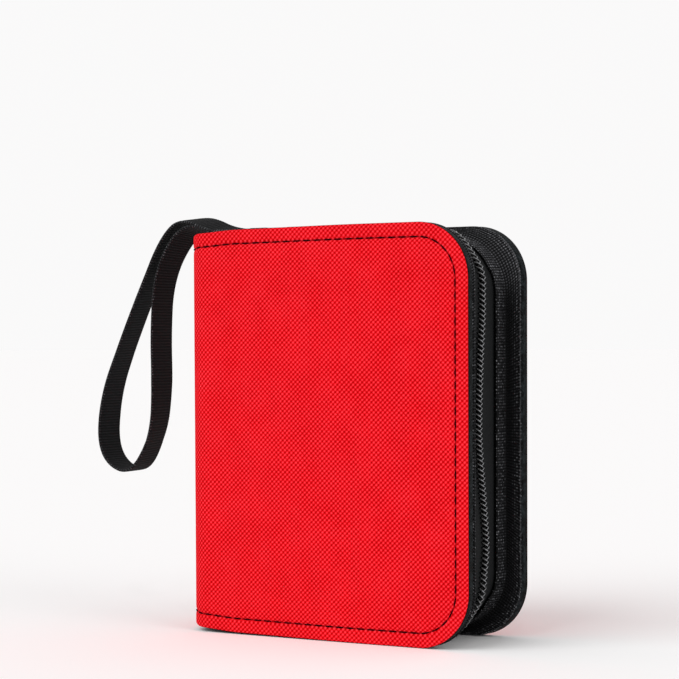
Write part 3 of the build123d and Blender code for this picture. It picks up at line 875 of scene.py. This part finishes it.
def webbing(name, line):
    """Webbing along a line in metres, a strip with cross ribs and selvedges. Also its length."""
    line = np.array(line) * 1000
    lengths = lengths_along(line)
    total = lengths[-1]
    points, places = [], []
    level = Vector((0, 1, 0))

    def on_line(run):
        return Vector([np.interp(run, lengths, line[:, axis]) for axis in range(3)])

    for run in np.linspace(0, total, int(total / STRAP_STEP) + 1):
        here = on_line(run)
        ahead = (on_line(min(run + 1.0, total)) - on_line(max(run - 1.0, 0))).normalized()
        tilt = radians(np.interp(run / total, *zip(*STRAP_TWIST)))
        over = ahead.cross(level).normalized()
        wide = level * cos(tilt) + over * sin(tilt)
        thick = over * cos(tilt) - level * sin(tilt)
        rib = STRAP_RIB_H * cos(2 * pi * run / STRAP_RIB)
        for face in (1, -1):
            for across, share, ribbed in STRAP_SECTION[::face]:
                up_by = face * (STRAP_T / 2 * share + rib * ribbed)
                points.append(tuple(here + wide * across + thick * up_by))
                places.append((run, across))
    faces = tube(points, 2 * len(STRAP_SECTION), flip=True)
    return smooth_mesh(name, points, faces, cloth=places), total * 0.001


web = Finish("black_webbing")
along, across = web.cloth_place()
web_ribs = along.wave(STRAP_RIB)
web_yarn = across.wave(STRAP_YARN)
web_fluff = web.noise(3.0, 3.0)
selvedge = across.math("ABSOLUTE").between(STRAP_EDGE - 0.7, STRAP_EDGE - 0.25)
# Light flecks on the selvedges' loops are partly a painted glint along the webbing's edges.
loops = selvedge * web_ribs * web_fluff.between(0.48, 0.66)
web_lit = web_ribs * (0.4 + web_yarn * 0.6) * (0.4 + web_fluff)
web_black = web.mix(web_lit, paint(3, 3, 4), paint(36, 36, 38))
web_finish = web.surface(
    Base_Color=web.mix(loops, web_black, paint(100, 101, 104)),
    Roughness=0.76,
    Normal=web.bump(web_ribs * web_yarn + web_fluff * 0.3, 0.1, 0.7),
    Specular_IOR_Level=0.1,
)
strap_line = spline_points(strap_route)
strap, strap_length = webbing("wrist_strap_webbing", strap_line)
strap.data.materials.append(web_finish)
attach(strap, "spine")
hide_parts("wrist_strap")


# ---- studio ----
# A pale floor under the standing binder, soft lamps, and a low camera that sees its front cover
# and its fore-edge.
FLOOR_SIZE = 40.0          # in metres, as is the gap under the binder
FLOOR_GAP = 0.0002
floor_paint = Finish("pale_floor")
floor_finish = floor_paint.surface(
    Base_Color=paint(254, 253, 253), Roughness=0.9, Specular_IOR_Level=0.0
)
bpy.ops.mesh.primitive_plane_add(size=FLOOR_SIZE, location=(0, 0, -FLOOR_GAP))
floor = bpy.context.object
floor.name = "floor"
floor.data.materials.append(floor_finish)

BACKDROP = 0.955           # as bright as the lit floor
STUDIO_AIR = 0.6           # how bright the air is as a light
air = bpy.data.worlds.new("studio_air")
bpy.context.scene.world = air
air.use_nodes = True
tree = air.node_tree
path = tree.nodes.new("ShaderNodeLightPath")
strength = tree.nodes.new("ShaderNodeMapRange")
strength.inputs["To Min"].default_value = STUDIO_AIR
strength.inputs["To Max"].default_value = BACKDROP
seen = path.outputs["Is Camera Ray"]
for name in ("Is Glossy Ray", "Is Transmission Ray"):
    either = tree.nodes.new("ShaderNodeMath")
    either.operation = "MAXIMUM"
    tree.links.new(seen, either.inputs[0])
    tree.links.new(path.outputs[name], either.inputs[1])
    seen = either.outputs[0]
tree.links.new(seen, strength.inputs["Value"])
tree.links.new(strength.outputs["Result"], tree.nodes["Background"].inputs["Strength"])
tree.nodes["Background"].inputs["Color"].default_value = (1.0, 0.995, 0.995, 1.0)


def lamp(name, towards, strength, softness):
    """A soft distant lamp that shines from this direction."""
    light = bpy.data.lights.new(name, "SUN")
    light.energy, light.angle = strength, radians(softness)
    holder = bpy.data.objects.new(name, light)
    holder.rotation_euler = Vector(towards).to_track_quat("Z", "Y").to_euler()
    bpy.context.scene.collection.objects.link(holder)


lamp("key_lamp", (-0.35, -1.0, 0.9), 1.3, 50)
lamp("fore_edge_lamp", (1.0, -0.25, 0.5), 0.6, 40)
lamp("glint_lamp", (0.55, -0.9, 0.75), 0.12, 5)

CAMERA_AZIMUTH = radians(31.66)
CAMERA_ELEVATION = radians(2.29)
CAMERA_ROLL = radians(-0.24)
CAMERA_DISTANCE = 0.7546
camera_aim = Vector((0, 0, HEIGHT / 2)) * 0.001
view_ahead = Vector((-sin(CAMERA_AZIMUTH), cos(CAMERA_AZIMUTH), 0))
view_line = view_ahead * cos(CAMERA_ELEVATION) - Vector((0, 0, sin(CAMERA_ELEVATION)))
view_right = Vector((cos(CAMERA_AZIMUTH), sin(CAMERA_AZIMUTH), 0))
view_up = view_right.cross(view_line)
turned_right = view_right * cos(CAMERA_ROLL) + view_up * sin(CAMERA_ROLL)
turned_up = view_up * cos(CAMERA_ROLL) - view_right * sin(CAMERA_ROLL)
camera = bpy.data.objects.new("camera", bpy.data.cameras.new("camera"))
bpy.context.scene.collection.objects.link(camera)
camera.data.lens = 120.64
camera.data.shift_x = -0.0196
camera.data.shift_y = 0.1352
camera.data.clip_start = 0.01
axes = Matrix((turned_right, turned_up, -view_line)).transposed().to_4x4()
camera.matrix_world = Matrix.Translation(camera_aim - view_line * CAMERA_DISTANCE) @ axes
bpy.context.scene.camera = camera
bpy.context.scene.view_settings.view_transform = "Standard"
